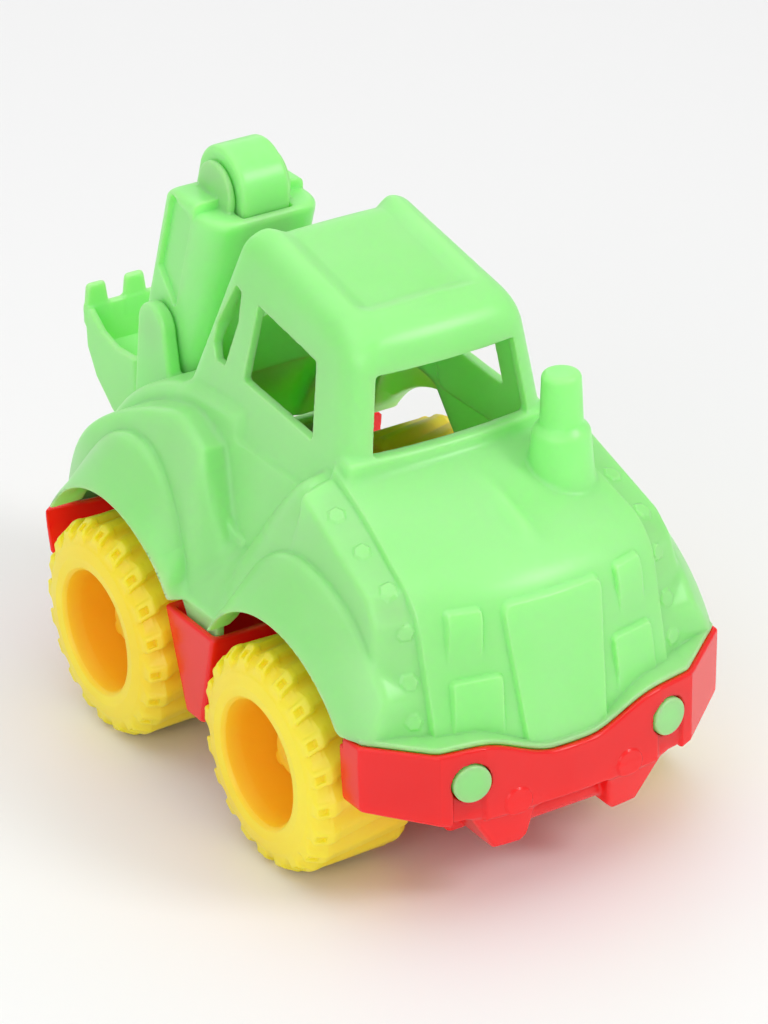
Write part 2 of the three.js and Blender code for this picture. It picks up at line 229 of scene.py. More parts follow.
def surface_nets(values, low, step):
    """One point per grid cell that the surface crosses, and a quad round each crossed grid edge."""
    inside = (values < 0).astype(np.uint8)
    total = sum(inside[tuple(slice(n, n - 1 or None) for n in corner)] for corner in CORNERS)
    cells = (total > 0) & (total < 8)
    where = np.argwhere(cells)
    ids = np.full(cells.shape, -1, np.int64)
    ids[cells] = np.arange(len(where))
    offsets = np.array(CORNERS)
    at = [values[tuple((where + o).T)].astype(float) for o in offsets]
    place = np.zeros((len(where), 3))
    weight = np.zeros(len(where))
    for a, b in EDGES:
        cut = (at[a] < 0) != (at[b] < 0)
        t = at[a][cut] / (at[a][cut] - at[b][cut])
        place[cut] += offsets[a] + t[:, None] * (offsets[b] - offsets[a])
        weight[cut] += 1
    points = np.array(low) + step * (where + place / weight[:, None])
    quads = []
    for axis in range(3):
        u, v = (axis + 1) % 3, (axis + 2) % 3
        first = np.take(inside, range(inside.shape[axis] - 1), axis)
        second = np.take(inside, range(1, inside.shape[axis]), axis)
        for sign, mask in ((1, (first == 1) & (second == 0)), (-1, (first == 0) & (second == 1))):
            edge = np.argwhere(mask)
            inner = (edge > 0) & (edge < np.array(ids.shape))
            edge = edge[inner[:, u] & inner[:, v]]
            eu, ev = np.eye(3, dtype=int)[u], np.eye(3, dtype=int)[v]
            ring = [edge - eu - ev, edge - ev, edge, edge - eu]
            quad = np.stack([ids[tuple(c.T)] for c in ring], -1)
            quads.append(quad if sign > 0 else quad[:, ::-1])
    return points, np.concatenate(quads)


def settle(field, points, reach, rounds=4):
    """Points pulled onto the surface, and the surface normals there."""
    for _ in range(rounds):
        slope = gradient(field, points)
        size = np.maximum((slope ** 2).sum(1), 0.05)
        shift = sample(field, points) / size
        length = np.abs(shift) * np.sqrt(size)
        shift *= np.minimum(1.0, reach / np.maximum(length, 1e-9))
        points = points - shift[:, None] * slope
    slope = gradient(field, points)
    return points, slope / np.maximum(np.linalg.norm(slope, axis=1), 1e-9)[:, None]


def refine(field, points, quads, normals, step, detail):
    """Faces that bend, or lie near a detail, are split in four; their neighbours take in the new points."""
    corner = normals[quads]
    bend = np.minimum((corner[:, 0] * corner[:, 2]).sum(1), (corner[:, 1] * corner[:, 3]).sum(1))
    sharp = bend < BEND_COS
    mirrored = points[quads].mean(1)
    mirrored[:, 0] = np.abs(mirrored[:, 0])
    for spot in detail:
        sharp |= np.linalg.norm(mirrored - spot, axis=1) < DETAIL_REACH
    count = len(points)
    ends = np.roll(quads, -1, axis=1)
    key = np.minimum(quads, ends) * count + np.maximum(quads, ends)
    split = np.unique(key[sharp])
    middles = (points[split // count] + points[split % count]) / 2.0
    centres = points[quads[sharp]].mean(1)
    slot = np.minimum(np.searchsorted(split, key), len(split) - 1)
    middle = np.where(split[slot] == key, count + slot, -1)
    q, m = quads[sharp], middle[sharp]
    c = count + len(split) + np.arange(len(q))
    fine = np.concatenate([np.stack([q[:, i], m[:, i], c, m[:, i - 1]], -1) for i in range(4)])
    ring = np.stack([quads[~sharp], middle[~sharp]], -1).reshape(-1, 8)
    used = ring >= 0
    loops = np.concatenate([fine.ravel(), ring[used]])
    sizes = np.concatenate([np.full(len(fine), 4), used.sum(1)])
    added, added_normals = settle(field, np.concatenate([middles, centres]), step / 2.0)
    return np.concatenate([points, added]), loops, sizes, np.concatenate([normals, added_normals])


def moulding(name, field, low, high, step, detail=()):
    """A Blender object whose surface is field = 0 inside the box low..high, all in millimetres."""
    step *= FINE
    values = grid_values(field, low, high, step)
    points, quads = surface_nets(values, low, step)
    points, normals = settle(field, points, step)
    return mesh_object(name, *refine(field, points, quads, normals, step, detail))


def mesh_object(name, points, loops, sizes, normals):
    """A linked object from points in millimetres, faces of the given sizes and a normal at each point."""
    mesh = bpy.data.meshes.new(name)
    mesh.vertices.add(len(points))
    mesh.vertices.foreach_set("co", (points * MM).astype(np.float32).ravel())
    mesh.loops.add(len(loops))
    mesh.loops.foreach_set("vertex_index", loops.astype(np.int32))
    mesh.polygons.add(len(sizes))
    starts = np.concatenate([[0], np.cumsum(sizes)[:-1]])
    mesh.polygons.foreach_set("loop_start", starts.astype(np.int32))
    mesh.polygons.foreach_set("use_smooth", np.ones(len(sizes), bool))
    mesh.update(calc_edges=True)
    mesh.validate()
    mesh.normals_split_custom_set_from_vertices(normals)
    piece = bpy.data.objects.new(name, mesh)
    bpy.context.scene.collection.objects.link(piece)
    return piece


# ---- body shell -------------------------------------------------------------------------------

# Wheel arch radius; the flare's outer face, how far it falls inward, and the height of its crease.
ARCH_R = 34.5
FLARE_X = 50.5
FLARE_FALL = 8.8
FLARE_TOP = 48.2
# How far the rim dips under the grille, and where the bumper's part of the rim ends.
RIM_DIP = 6.4
NOSE_END = -79.0
# Where the hood ends inside the cab, and how far the plinths stand in from the chassis rim.
HOOD_BACK = -44.0
PLINTH_INSET = WALL + 0.4


def rim(ax):
    """Height of the chassis rim along the bumper: it dips under the grille and rises at the ends."""
    return RIM_Z - RIM_DIP * (1.0 - ramp(ax, 4.0, 25.0)) + 0.16 * np.maximum(ax - 35.0, 0.0)


def hood_top(ax, y):
    """Height of the hood's top surface: it falls towards the nose and is crowned across."""
    return 91.0 + 0.40 * (y + 50.0) - 0.0035 * ax ** 2


def hood_front(ax, z):
    """Place of the hood's front face: it leans back and is crowned across."""
    crown = 0.0062 - 0.00006 * (73.0 - z)
    return -88.0 + 0.175 * (z - 73.0) + crown * ax ** 2


def hood_strip(ax, y, z):
    """The hood's top and front, and both with the flat chamfer of the side strips between them."""
    top = (z - hood_top(ax, y)) * 0.92
    front = (hood_front(ax, z) - y) * 0.95
    bevel = (top + front) * 0.7071 + 2.3
    return top, front, meet(0.5, top, front, bevel)


def hood(ax, x, y, z):
    """The bonnet, plain and with its raised panels, vents and ridge."""
    top, front, strip = hood_strip(ax, y, z)
    side = (ax - 38.6 - 0.16 * (80.0 - z)) * 0.987
    panel_edge = 28.9 + 2.9 * ramp(-y, 50.0, 84.0)
    on_panel = 1.0 - ramp(ax, panel_edge - 0.5, panel_edge + 0.4)
    panel = soft_max(top, front, 7.0)
    form = strip + (panel - strip) * on_panel
    behind = y - HOOD_BACK
    plain = meet(1.6, form, side, behind)
    relief = 1.3 * on_panel + grille(ax, z, front) + ridge(x, y) + bolt_heads(ax, y, z)
    return plain, meet(1.6, form - relief, side, behind)


# Bolt heads on the strip's top and front, their inner radius, and how near the strip they reach.
TOP_BOLTS = [(33.6, -53.5, 85.9), (33.8, -64.3, 83.0), (34.2, -75.6, 79.7)]
FRONT_BOLTS = [(34.2, -86.5, 69.1), (34.8, -88.0, 58.0), (35.2, -89.5, 49.0)]
BOLT_R = 1.8
BOLT_REACH = 5.0


def bolt_head(u, v, depth):
    """How far one hexagonal bolt head stands proud, across the plane u, v."""
    skew = np.maximum(np.abs(0.5 * v + 0.866 * u), np.abs(0.5 * v - 0.866 * u))
    hexagon = np.maximum(np.abs(v), skew)
    return 0.5 * (1.0 - ramp(hexagon - BOLT_R, -0.35, 0.3)) * (np.abs(depth) < BOLT_REACH)


def bolt_heads(ax, y, z):
    """Six hexagonal bolt heads on the hood's side strip, hardly proud."""
    proud = 0.0
    for bolt_x, bolt_y, bolt_z in TOP_BOLTS:
        proud = proud + bolt_head(ax - bolt_x, y - bolt_y, z - bolt_z)
    for bolt_x, bolt_y, bolt_z in FRONT_BOLTS:
        proud = proud + bolt_head(ax - bolt_x, z - bolt_z, y - bolt_y)
    return proud


def grille(ax, z, front):
    """How far the centre plate and the vents of the hood's front stand proud."""
    facing = 1.0 - ramp(np.abs(front), 4.0, 7.0)
    plate = rounded(ax, z, [(-20.0, 38.0), (10.6, 38.0), (13.3, 72.8), (-20.0, 72.8)], 2.6)
    proud = 1.2 * (1.0 - ramp(plate, -0.5, 0.4))
    upper = rounded(ax, z, [(18.6, 60.0), (26.6, 60.0), (25.9, 73.0), (17.7, 73.0)], 1.2)
    proud += 1.3 * (1.0 - ramp(upper, -0.45, 0.35)) * ramp(z, 60.0, 70.5)
    lower = rounded(ax, z, [(15.6, 40.0), (27.8, 40.0), (26.7, 57.4), (14.8, 57.4)], 1.4)
    proud += 1.3 * (1.0 - ramp(lower, -0.45, 0.35)) * ramp(z, 41.0, 54.0)
    return proud * facing


def ridge(x, y):
    """The rounded ridge that runs out towards the front of the hood's top."""
    return 1.2 * np.exp(-((x - 1.6) / 2.4) ** 2) * ramp(y, -82.0, -76.0) * (1.0 - ramp(y, -72.0, -56.0))


def cab(ax, y, z):
    """The cab: walls that lean in, rounded corners, and a roof with a shallow recess."""
    side = (ax - 24.0 - 0.15 * (115.0 - z)) * 0.989
    front = (-50.7 + 0.125 * (z - 94.8) + 0.0036 * ax ** 2 - y) * 0.985
    roof_z = 124.3 + 0.2225 * (y + 41.2) - 0.0016 * ax ** 2
    recess = 1.7 * (1.0 - ramp(ax, 12.0, 17.4)) * ramp(y, -38.8, -33.2)
    roof = (z - roof_z) * 0.976
    rear = (y - 5.5 - 0.4158 * (128.5 - z)) * 0.923
    walls = soft_max(side, front, 7.0)
    walls = soft_max(walls, rear, 4.0)
    return soft_max(walls, roof, 8.0) + recess * ramp(z, 104.0, 112.0)


def sill(ax, y, z):
    """The ledge under the windscreen."""
    front = -51.9 + 0.0036 * ax ** 2
    return meet(1.6, front - y, y - HOOD_BACK, z - 94.6, 84.0 - z, ax - 27.3)


def side_step(ax, y, z):
    """The body side between the fenders: a wall, a ledge and a flange over the skirt."""
    outline = [(0.0, 30.0), (46.2, 30.0), (46.2, 47.6), (38.5, 56.4), (35.8, 58.6), (33.4, 60.4),
               (29.2, 82.0), (0.0, 82.0)]
    return meet(1.0, polygon(ax, z, outline), slab(y, -34.0, 14.0))


def flare(ax, y, z, axle, half_front, half_back, front_y):
    """The lip round a wheel arch; it swells out from a crease that is an upright half ellipse."""
    dy, dz = y - axle[1], z - axle[2]
    r = np.maximum(np.hypot(dy, dz), 1.0)
    half = np.where(dy < 0.0, half_front, half_back)
    ring = np.maximum(1.0 / np.hypot(dy / r / half, dz / r / FLARE_TOP), ARCH_R + 1.6)
    width = np.maximum(ring - ARCH_R, 4.6)
    t = np.clip((r - ARCH_R) / width, 0.0, 1.5)
    reach = FLARE_X - FLARE_FALL * (0.45 * t + 0.55 * t * t)
    slope = FLARE_FALL / width
    return meet(1.0, (ax - reach) / np.sqrt(1.0 + slope ** 2), (r - ring) * 0.93, front_y - y)


def fender_wall(ax, z, top_x, top_z):
    """A fender's side: a leaning shoulder over a steeper wall."""
    upper = (ax - top_x - 0.42 * (top_z - z)) * 0.922
    lower = (ax - top_x - 3.8 - 0.16 * (top_z - 9.0 - z)) * 0.987
    return soft_max(upper, lower, 2.0)


# Side outlines, y and z, of the two fenders.
FRONT_BOX = [(-96.0, 30.0), (0.0, 30.0), (-4.0, 45.0), (-12.3, 56.6), (-18.7, 65.7), (-27.2, 76.6),
             (-35.3, 85.7), (-41.0, 90.5), (-96.0, 90.5)]
REAR_FRONT = [(-12.0, 30.0), (-10.5, 56.0), (-3.2, 73.0), (0.4, 81.0), (13.0, 84.6), (90.0, 100.0),
              (90.0, 30.0)]
REAR_END = 66.4


def front_fender(ax, y, z):
    """The front fender: a body that stays under the hood's strip, and the flare of its arch."""
    strip = hood_strip(np.minimum(ax, 38.0), y, z)[2] + 0.6
    wall = fender_wall(ax, z, 36.6, 84.0) + 0.11 * np.maximum(-60.0 - y, 0.0)
    corner = 0.71 * (ax - 36.5) + 0.54 * (y + 12.3 + 0.847 * (z - 56.6))
    body = meet(3.2, wall, strip, rounded(y, z, FRONT_BOX, 3.0), corner)
    body = soft_max(body, -84.5 - y, 3.0)
    return soft_min(body, flare(ax, y, z, FRONT_AXLE, 44.0, 33.0, -86.0), 0.5)


def back_curve(y, z, least, swell, fall):
    """A fender's rounded back, nearer the axle the further it comes down."""
    dy, dz = y - REAR_AXLE[1], z - REAR_AXLE[2]
    lean = np.clip(np.arctan2(dy, dz), -0.6, 2.0)
    return (np.hypot(dy, dz) - least - swell * np.exp(-lean / fall)) * 0.95


def rear_fender(ax, y, z):
    """The rear fender, the deck between the two, and the flare of the arch."""
    corner = 0.768 * (ax - 37.2) - 0.64 * (y + 10.0 - 0.35 * (z - 56.0))
    outline = soft_max(rounded(y, z, REAR_FRONT, 2.0), back_curve(y, z, 43.5, 11.3, 0.63), 2.0)
    wall = fender_wall(ax, z, 36.0, 84.0) + 0.014 * np.maximum(y - 45.0, 0.0) ** 2
    box = meet(2.0, outline, wall, corner, y - REAR_END)
    deck = meet(2.0, back_curve(y, z, 44.0, 15.2, 0.873), slab(y, -4.0, REAR_END))
    body = soft_min(box, soft_max(deck, ax - 29.5, 3.0), 1.0)
    lip = soft_max(flare(ax, y, z, REAR_AXLE, 31.6, 31.6, -7.5), y - REAR_END - 0.2, 1.6)
    return soft_min(body, lip, 0.5)


def ears(ax, y, z):
    """The two upright ears that hold the boom's foot."""
    disc = np.hypot(y - BOOM_FOOT[1], np.maximum(z - BOOM_FOOT[2], 0.0)) - 6.4
    lean = disc - 0.16 * np.clip(BOOM_FOOT[2] - z, 0.0, 20.0)
    return meet(1.4, lean, slab(ax, 15.8, 19.8), 56.0 - z)


# Half plans, x and y, of the chassis rim at the nose and at the tail.
NOSE_PLAN = [(0.0, -98.6), (23.6, -97.7), (34.0, -95.7), (49.0, -85.0), (49.3, -77.4), (23.5, -80.0),
             (0.0, -80.0)]
TAIL_PLAN = [(0.0, 53.0), (23.5, 54.8), (49.0, 58.8), (36.0, 69.0), (0.0, 69.0)]


def plan(ax, y, points, off):
    """A half plan, mirrored about x = 0, moved in by off."""
    left = [(-px, py) for px, py in reversed(points) if px > 0.0]
    return polygon(ax, y, points + left) + off


# The middle of the exhaust stack, x and y.
STACK = (20.9, -62.5)


def exhaust(x, y, z):
    """The stepped exhaust stack on the hood's left side."""
    r = np.hypot(x - STACK[0], y - STACK[1])
    lower = soft_max((r - 7.9 + 0.085 * (z - 82.0)) * 0.995, z - 97.2, 2.2)
    upper = soft_max((r - 5.05 + 0.04 * (z - 98.0)) * 0.999, z - 110.2, 1.8)
    return soft_max(soft_min(lower, upper, 1.4), 74.0 - z, 0.5)


# Window outlines: y and z in the sides, x and z in front and behind.
DOOR_WINDOW = [(-5.0, 116.3), (-31.1, 112.4), (-32.8, 94.1), (-1.8, 96.8)]
QUARTER_WINDOW = [(5.2, 117.6), (2.5, 116.9), (2.7, 109.4), (6.6, 97.3), (10.4, 97.3), (12.2, 100.8),
                  (11.9, 105.8)]
WINDSCREEN = [(-18.4, 113.3), (-20.9, 94.7), (20.9, 94.7), (18.4, 113.3)]
REAR_WINDOW = [(-15.0, 119.0), (-17.0, 104.0), (17.0, 104.0), (15.0, 119.0)]


def windows(ax, x, y, z):
    """All the window openings, cut straight through the walls."""
    sides = soft_min(rounded(y, z, DOOR_WINDOW, 0.9), rounded(y, z, QUARTER_WINDOW, 0.9), 0.01)
    sides = np.maximum(sides, 12.0 - ax)
    screen = np.maximum(rounded(x, z, WINDSCREEN, 0.9), slab(y, -54.4, -38.0))
    rear = np.maximum(rounded(x, z, REAR_WINDOW, 1.6), slab(y, -4.0, 40.0))
    return np.minimum(np.minimum(sides, screen), rear)


def body_forms(ax, x, y, z):
    """The shell's outside, plain and detailed, going down without end, so that its offset is open below."""
    fender = front_fender(ax, y, z)
    top = soft_min(cab(ax, y, z), sill(ax, y, z), 1.2)
    middle = soft_min(top, side_step(ax, y, z), 2.6)
    middle = soft_min(middle, rear_fender(ax, y, z), 2.4)
    plain, detailed = (soft_min(middle, soft_min(nose, fender, 1.0), 2.0) for nose in hood(ax, x, y, z))
    return plain, detailed - door_rib(ax, y, z)


DOOR_RIB = [(2.8, 75.4), (-0.4, 71.4), (-4.4, 65.8), (-8.6, 61.6), (-10.8, 61.0)]


def door_rib(ax, y, z):
    """How far the rib beside the door stands proud of the cab's side."""
    line = stroke(y, z, DOOR_RIB) - 1.1
    return 0.7 * (1.0 - ramp(line, -0.6, 0.5)) * (1.0 - ramp(ax, 34.0, 35.5)) * ramp(ax, 22.0, 24.0)


def shell_outside(ax, y, z, form):
    """The shell's outside with its foot, the plinths that sit in the chassis, the ears and the flange."""
    nose_rim = rim(ax)
    foot = np.where(y < NOSE_END, nose_rim + 0.2, RIM_Z + 2.8)
    outer = soft_max(form, foot - z, 0.7)
    above = z - nose_rim
    behind = y - NOSE_END
    nose_plinth = meet(0.8, plan(ax, y, NOSE_PLAN, PLINTH_INSET), above - 1.0, -4.0 - above, behind)
    tail_plinth = meet(0.8, plan(ax, y, TAIL_PLAN, PLINTH_INSET), slab(z, 40.0, 45.5))
    step_plinth = meet(0.8, ax - 46.2, slab(y, -19.4, -2.0), slab(z, 40.0, 48.0))
    outer = join(0.5, outer, nose_plinth, tail_plinth, step_plinth)
    outer = soft_min(outer, ears(ax, y, z), 1.6)
    flange = meet(0.5, plan(ax, y, NOSE_PLAN, 1.1), above - 1.5, 0.15 - above, behind)
    return soft_min(outer, flange, 0.3)


def shell_hollow(ax, y, z, plain):
    """The room inside the shell and inside its plinths."""
    inset_by = PLINTH_INSET + WALL
    nose = np.maximum(plan(ax, y, NOSE_PLAN, inset_by), z - rim(ax) + 0.6)
    tail = np.maximum(plan(ax, y, TAIL_PLAN, inset_by), z - 43.6)
    step = meet(0.4, ax - 44.2, slab(y, -17.4, -4.0), z - 45.6)
    return np.minimum(np.minimum(np.minimum(plain + SHELL_WALL, nose), tail), step)


def body_shell(x, y, z):
    """The whole upper moulding."""
    ax = np.abs(x)
    plain, form = body_forms(ax, x, y, z)
    shell = soft_max(shell_outside(ax, y, z, form), -shell_hollow(ax, y, z, plain), 0.5)
    for axle in (FRONT_AXLE, REAR_AXLE):
        arch = np.maximum(around(y, z, axle) - ARCH_R, 26.0 - ax)
        shell = soft_max(shell, -arch, 0.7)
    shell = soft_min(shell, np.maximum(exhaust(x, y, z), -(plain + 1.0)), 1.3)
    pin_hole = np.maximum(around(y, z, BOOM_FOOT) - ARM_HOLE_R, slab(ax, 14.0, 17.4))
    shell = soft_max(shell, -pin_hole, 0.3)
    return soft_max(shell, -windows(ax, x, y, z), 0.45)


# ---- chassis ----------------------------------------------------------------------------------


def skirt(ax, y, z, off):
    """The tapered panel that hangs between the wheels. off moves every face in, as for the next three."""
    side = rounded(y, z, [(-23.4, 50.0), (-15.0, 18.7), (-7.4, 18.7), (2.8, 50.0)], 1.5)
    return meet(1.4, side + off, ax - 48.7 + off)


def tub(ax, y, z, off):
    """The narrow tub along the middle."""
    bottom = 14.0 + off
    return meet(1.2, ax - 23.5 + off, -82.0 + off - y, y - 57.0 + off, bottom - z)


def bumper(ax, y, z, off):
    """The wide front bumper."""
    taper = 0.04 * np.clip(RIM_Z - z, 0.0, 20.0)
    body = meet(0.9, plan(ax, y, NOSE_PLAN, off), ax - 49.4 + taper + off)
    bottom = 24.8 + 0.25 * np.maximum(ax - 30.0, 0.0)
    return soft_max(body, bottom + off - z, 1.2)


def tail_basin(ax, y, z, off):
    """The basin behind the rear wheels."""
    taper = 0.15 * np.clip(RIM_Z - z, 0.0, 20.0)
    body = meet(0.9, plan(ax, y, TAIL_PLAN, off), ax - 49.3 + taper + off)
    bottom = 26.0 + 0.3 * np.maximum(ax - 30.0, 0.0)
    return soft_max(body, bottom + off - z, 1.2)


# The centre of a lamp's face, its turn outward in radians, and the radius of its hole.
LAMP = (26.7, -96.9, 35.6)
LAMP_TOE = 0.18
LAMP_HOLE_R = 4.9


def lamp_axes(ax, y, z):
    """Distance from the lamp's centre line and depth behind its face."""
    dx, dy = ax - LAMP[0], y - LAMP[1]
    depth = -dx * math.sin(LAMP_TOE) + dy * math.cos(LAMP_TOE)
    across = dx * math.cos(LAMP_TOE) + dy * math.sin(LAMP_TOE)
    return np.hypot(across, z - LAMP[2]), depth


def tow_tabs(ax, y, z):
    """The two tabs that hang below the bumper."""
    outline = [(9.4, 27.5), (11.0, 16.6), (12.6, 15.0), (19.4, 15.0), (23.6, 21.6), (27.5, 27.5)]
    side = rounded(ax, z, outline, 0.9)
    front = (-98.2 + 0.22 * np.clip(27.0 - z, -4.0, 20.0) + 0.003 * ax ** 2 - y) * 0.97
    rear = y + 82.0 - 0.35 * np.maximum(z - 14.0, 0.0)
    return meet(0.9, side, front, rear, z - 29.5)


def chassis(x, y, z):
    """The whole lower moulding."""
    ax = np.abs(x)
    parts = (tub, bumper, tail_basin, skirt)
    outer = join(0.8, *(part(ax, y, z, 0.0) for part in parts))
    hollow = join(0.6, *(part(ax, y, z, WALL) for part in parts))
    outer = outer + 0.9 * lamp_pocket(ax, y, z)
    walls = soft_max(outer, -hollow, 0.5)
    walls = soft_max(walls, z - np.where(y < NOSE_END, rim(ax), RIM_Z), 0.9)
    walls = soft_min(walls, tow_tabs(ax, y, z), 1.0)
    gap = rounded(ax, z, [(-10.0, 10.0), (9.2, 10.0), (9.0, 24.0), (-10.0, 24.0)], 1.2)
    walls = soft_max(walls, -np.maximum(gap, slab(y, -120.0, -84.0)), 0.8)
    bar = np.maximum(np.hypot(y + 90.2, z - 20.4) - 3.2, ax - 11.0)
    walls = soft_min(walls, bar, 0.8)
    for axle in (FRONT_AXLE, REAR_AXLE):
        block = meet(0.6, slab(ax, 14.0, 22.0), slab(y, axle[1] - 5.0, axle[1] + 5.0), slab(z, 15.0, 34.0))
        walls = soft_min(walls, block, 0.8)
        walls = soft_max(walls, ROD_HOLE_R - around(y, z, axle), 0.3)
    walls = walls - emboss(ax, y, z)
    r_lamp, _ = lamp_axes(ax, y, z)
    return np.maximum(walls, -np.maximum(r_lamp - LAMP_HOLE_R, y + 84.0))


def lamp_pocket(ax, y, z):
    """The shallow upright recess under each lamp."""
    area = rounded(ax, z, [(23.6, 20.0), (31.0, 20.0), (31.0, 37.0), (23.6, 37.0)], 1.0)
    return (1.0 - ramp(area, -0.5, 0.5)) * ramp(-92.0 - y, 0.0, 2.0)


def emboss(ax, y, z):
    """Round bosses on the bumper beside the tow gap."""
    disc = np.hypot(ax - 15.1, z - 27.6) - 3.5
    return 0.5 * (1.0 - ramp(disc, -0.3, 0.3)) * ramp(-94.0 - y, 0.0, 1.0)


def lamp(side):
    """A headlamp plug: a domed disc on a stem."""
    def field(x, y, z):
        r, depth = lamp_axes(side * x, y, z)
        head = soft_max(r - 4.6, slab(depth, -0.9 + 0.004 * r ** 2, 1.6), 0.7)
        stem = soft_max(r - 3.0, slab(depth, 0.0, 7.0), 0.6)
        return soft_min(head, stem, 0.4)
    return field


# ---- wheels -----------------------------------------------------------------------------------

# Lugs round a tyre, lug nuts round a hub, the tread's radius between lugs, and half the wheel's section
# as radius and distance from the middle plane.
LUGS = 20
NUTS = 5
TREAD_R = 25.2
TYRE = [(15.2, 53.6), (16.0, 54.5), (18.5, 54.8), (21.5, 54.2), (24.0, 52.7), (TREAD_R, 50.6),
        (TREAD_R, 30.0), (24.0, 27.6), (21.5, 26.3), (18.0, 26.0), (15.6, 26.6), (15.0, 28.6), (13.8, 37.0),
        (ROD_HOLE_R, 37.0), (ROD_HOLE_R, 41.0), (13.4, 41.0), (14.4, 50.0)]


def wheel(centre, side):
    """A tyre and dish in one moulding, with saw-tooth lugs that end in a knuckle with a small pit."""
    def field(x, y, z):
        out = side * x
        dy, dz = y - centre[1], z - centre[2]
        r = np.hypot(dy, dz)
        angle = np.arctan2(dz, dy) * side
        body = polygon(r, out, TYRE)
        body = join(0.8, body, soft_max(slab(out, 33.0, 46.0), slab(r, ROD_HOLE_R, 5.4), 0.6))
        pitch = 2.0 * math.pi / LUGS
        turn = np.mod(angle + 0.010 * (out - 40.0), pitch) / pitch
        height = 1.8 * ramp(turn, 0.04, 0.16) * (1.0 - ramp(turn, 0.42, 0.98))
        shoulder = 0.75 * np.maximum(out - 49.8, 0.0) + 0.6 * np.maximum(29.6 - out, 0.0)
        tread = soft_max(r - TREAD_R - height + shoulder, slab(out, 27.6, 53.6), 0.7)
        tread = np.maximum(tread, 20.0 - r)
        knuckle_arc = (turn - 0.27) * pitch * r
        knuckle_top = r - 27.0 + 0.55 * np.maximum(out - 50.2, 0.0)
        knuckle = meet(0.7, slab(knuckle_arc, -1.9, 2.1), slab(out, 48.5, 53.5), knuckle_top, 22.0 - r)
        tyre = join(0.6, body, tread * 0.9, knuckle)
        pit = meet(0.3, slab(knuckle_arc, -0.8, 0.9), slab(r, 24.9, 26.3), 51.2 - out)
        tyre = soft_max(tyre, -pit, 0.3)
        share = np.mod(angle, 2.0 * math.pi / NUTS) - math.pi / NUTS
        nut = np.hypot(r * np.cos(share) - 9.4, r * np.sin(share)) - 1.9
        nut = soft_max(nut, slab(out, 39.0, 44.0), 0.8)
        return soft_min(tyre, nut, 0.7)
    return field


# ---- digger arm -------------------------------------------------------------------------------

# The boom's lean forward from upright, and the rounding of the dipper's two ends.
LEAN = math.atan2(BOOM_FOOT[1] - BOOM_HEAD[1], BOOM_HEAD[2] - BOOM_FOOT[2])
DIPPER_HEAD_R = 11.0
DIPPER_TIP_R = 4.6


def along_boom(y, z):
    """Distance up the boom from its foot, and distance behind its centre line."""
    dy, dz = y - BOOM_FOOT[1], z - BOOM_FOOT[2]
    up = dz * math.cos(LEAN) - dy * math.sin(LEAN)
    behind = dy * math.cos(LEAN) + dz * math.sin(LEAN)
    return up, behind


def boom(x, y, z):
    """The boom: a channel round the dipper, with bosses and pins for both hinges."""
    ax = np.abs(x)
    up, behind = along_boom(y, z)
    foot = np.hypot(np.minimum(up, 0.0), behind + 1.6) - 12.1
    chamfer = (ax - 12.2) * 0.79 - (behind + 13.6) * 0.61
    form = meet(3.0, ax - 15.4, -13.6 - behind, chamfer)
    form = soft_max(form, behind - 10.5, 3.0)
    form = soft_max(form, foot, 1.0)
    step_down = 2.4 * (1.0 - ramp(behind, -3.4, -2.2))
    form = soft_max(form, z - BOOM_HEAD[2] + 0.8 + step_down, 2.6)
    panel = rounded(up, behind, [(7.0, -2.4), (35.5, -2.4), (35.5, 7.4), (13.0, 7.4)], 1.0)
    form = form + 1.3 * (1.0 - ramp(panel, -0.4, 0.4)) * ramp(ax, 12.0, 13.0)
    bosses = soft_max(around(y, z, BOOM_HEAD) - 7.6, ax - 8.6, 1.0)
    form = soft_min(form, bosses, 1.0)
    slot = meet(0.8, ax - 6.9, -11.3 - behind)
    form = soft_max(form, -slot, 0.5)
    head_pin = np.maximum(around(y, z, BOOM_HEAD) - ARM_PIN_R, slab(ax, 3.9, 8.0))
    foot_pin = soft_max(around(y, z, BOOM_FOOT) - ARM_PIN_R, slab(ax, 14.0, 17.0), 0.5)
    return join(0.3, form, head_pin, foot_pin)


def dipper(x, y, z):
    """The dipper: a tapered bar with sunk sides and a hole at each end."""
    ax = np.abs(x)
    dy, dz = BUCKET_HINGE[1] - BOOM_HEAD[1], BUCKET_HINGE[2] - BOOM_HEAD[2]
    length = math.hypot(dy, dz)
    t = np.clip(((y - BOOM_HEAD[1]) * dy + (z - BOOM_HEAD[2]) * dz) / length ** 2, 0.0, 1.0)
    off = np.hypot(y - BOOM_HEAD[1] - t * dy, z - BOOM_HEAD[2] - t * dz)
    edge = off - DIPPER_HEAD_R + (DIPPER_HEAD_R - DIPPER_TIP_R) * t
    form = soft_max(edge, ax - 6.5, 1.5)
    waist = rounded(t * length, edge, [(14.0, -30.0), (52.0, -30.0), (52.0, -2.6), (14.0, -2.6)], 1.0)
    form = form + 0.8 * (1.0 - ramp(waist, -0.5, 0.5)) * ramp(ax, 4.6, 5.6)
    form = np.maximum(form, ARM_HOLE_R - around(y, z, BOOM_HEAD))
    return np.maximum(form, BUCKET_HOLE_R - around(y, z, BUCKET_HINGE))


# Side outlines, y and z, of the bucket and of what is open above its rim.
BUCKET_OUT = [(72.2, 70.6), (72.2, 58.0), (74.0, 51.0), (78.5, 47.0), (86.0, 50.2), (94.0, 56.8),
              (98.1, 64.0), (98.6, 75.0), (98.6, 82.0), (72.2, 82.0)]
BUCKET_RIM = [(60.0, 70.4), (74.9, 70.0), (82.8, 69.4), (89.8, 71.2), (95.0, 75.0), (110.0, 76.0),
              (110.0, 120.0), (60.0, 120.0)]


